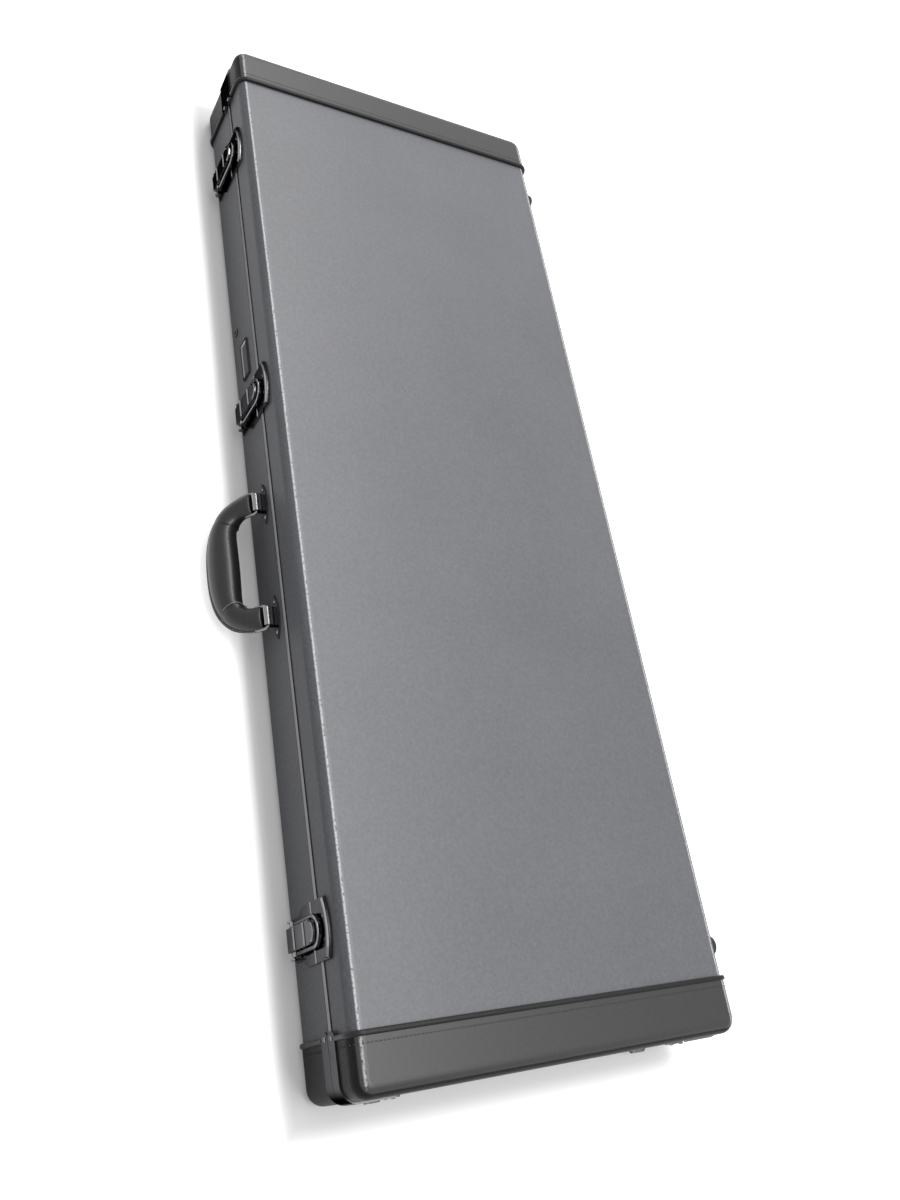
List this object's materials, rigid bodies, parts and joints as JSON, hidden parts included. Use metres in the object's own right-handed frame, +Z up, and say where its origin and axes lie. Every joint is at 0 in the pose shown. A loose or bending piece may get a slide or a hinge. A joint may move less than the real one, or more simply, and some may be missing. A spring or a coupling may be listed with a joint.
{
  "type": "electric guitar case",
  "caption": "Rectangular hard case for an electric guitar with leather ends, draw latches, a hinged lid, a padded handle and a plush lined inside.",
  "frame": {"origin": "centre of the flat bottom panel, on which the case rests with its lid up", "axes": "+X towards the body end, +Y towards the hinge side, +Z up through the lid; the handle and latches are on the -Y side"},
  "size_m": [1.0765, 0.4344, 0.1063],
  "materials": {
    "covered_ply": "grained grey vinyl over plywood",
    "end_leather": "dark satin leather",
    "handle_leather": "black stitched leather",
    "rim_metal": "satin",
    "nickel": "bright nickel plate",
    "black_metal": "blackened",
    "foot_rubber": "matt",
    "card": "blank insert",
    "plush": "short plush over foam"
  },
  "bodies": {
    "base": {"base_shell": "covered_ply", "base_valance": "rim_metal", "base_head_leather": "end_leather", "base_body_leather": "end_leather", "base_piping": "end_leather", "base_corner_straps": "nickel", "base_hinge_leaf_head": "nickel", "base_hinge_leaf_mid": "nickel", "base_hinge_leaf_body": "nickel", "hinge_pins": "nickel", "latch_plate_head": "nickel", "latch_plate_mid": "nickel", "latch_plate_body": "nickel", "latch_lever_pins": "nickel", "handle_post_head": "nickel", "handle_post_body": "nickel", "base_rivets": "nickel", "label_frame": "nickel", "label_card": "card", "side_eyelet": "black_metal", "base_spine_feet": "foot_rubber", "body_end_glides": "nickel", "floor_lining": "plush", "waist_pad_handle_side": "plush", "waist_pad_hinge_side": "plush", "tail_pad": "plush", "head_pad": "plush", "neck_rest": "plush", "accessory_box": "plush"},
    "lid": {"lid_shell": "covered_ply", "lid_valance": "rim_metal", "lid_head_leather": "end_leather", "lid_body_leather": "end_leather", "lid_piping": "end_leather", "lid_corner_straps": "nickel", "lid_hinge_leaf_head": "nickel", "lid_hinge_leaf_mid": "nickel", "lid_hinge_leaf_body": "nickel", "latch_strike_head": "nickel", "latch_strike_mid": "nickel", "latch_strike_body": "nickel", "lid_rivets": "nickel", "lid_spine_feet": "foot_rubber", "lid_pad": "plush"},
    "handle": {"handle_ring_head": "nickel", "handle_ring_body": "nickel", "handle_elbow_head": "handle_leather", "handle_elbow_body": "handle_leather", "handle_grip": "handle_leather", "handle_welt": "handle_leather"},
    "accessory_lid": {"accessory_lid": "plush", "accessory_pull_tab": "handle_leather"},
    "latch_lever_head": {"latch_lever_head": "nickel"},
    "latch_loop_head": {"latch_loop_head": "nickel"},
    "latch_lever_mid": {"latch_lever_mid": "nickel"},
    "latch_loop_mid": {"latch_loop_mid": "nickel"},
    "latch_lever_body": {"latch_lever_body": "nickel"},
    "latch_loop_body": {"latch_loop_body": "nickel"}
  },
  "joints": [
    {"name": "lid_hinge", "type": "hinge", "parent": "base", "child": "lid", "pos_m": [0, 0.192, 0.0651], "axis": [-1, 0, 0], "range_deg": [0, 105]},
    {"name": "handle_swing", "type": "hinge", "parent": "base", "child": "handle", "pos_m": [0.07, -0.1965, 0.047], "axis": [-1, 0, 0], "range_deg": [-30, 130]},
    {"name": "accessory_lid_hinge", "type": "hinge", "parent": "base", "child": "accessory_lid", "pos_m": [-0.0825, 0.1717, 0.0579], "axis": [-1, 0, 0], "range_deg": [0, 73.5]},
    {"name": "latch_lever_head_swing", "type": "hinge", "parent": "base", "child": "latch_lever_head", "pos_m": [-0.411, -0.1922, 0.0196], "axis": [1, 0, 0], "range_deg": [0, 120]},
    {"name": "latch_loop_head_swing", "type": "hinge", "parent": "latch_lever_head", "child": "latch_loop_head", "pos_m": [-0.411, -0.19325, 0.0272], "axis": [1, 0, 0], "range_deg": [0, 50]},
    {"name": "latch_lever_mid_swing", "type": "hinge", "parent": "base", "child": "latch_lever_mid", "pos_m": [-0.103, -0.1922, 0.0196], "axis": [1, 0, 0], "range_deg": [0, 120]},
    {"name": "latch_loop_mid_swing", "type": "hinge", "parent": "latch_lever_mid", "child": "latch_loop_mid", "pos_m": [-0.103, -0.19325, 0.0272], "axis": [1, 0, 0], "range_deg": [0, 50]},
    {"name": "latch_lever_body_swing", "type": "hinge", "parent": "base", "child": "latch_lever_body", "pos_m": [0.408, -0.1922, 0.0196], "axis": [1, 0, 0], "range_deg": [0, 120]},
    {"name": "latch_loop_body_swing", "type": "hinge", "parent": "latch_lever_body", "child": "latch_loop_body", "pos_m": [0.408, -0.19325, 0.0272], "axis": [1, 0, 0], "range_deg": [0, 50]}
  ],
  "couplings": [
    {"joint": "accessory_lid_hinge", "follows": "lid_hinge", "ratio": 0.7}
  ]
}
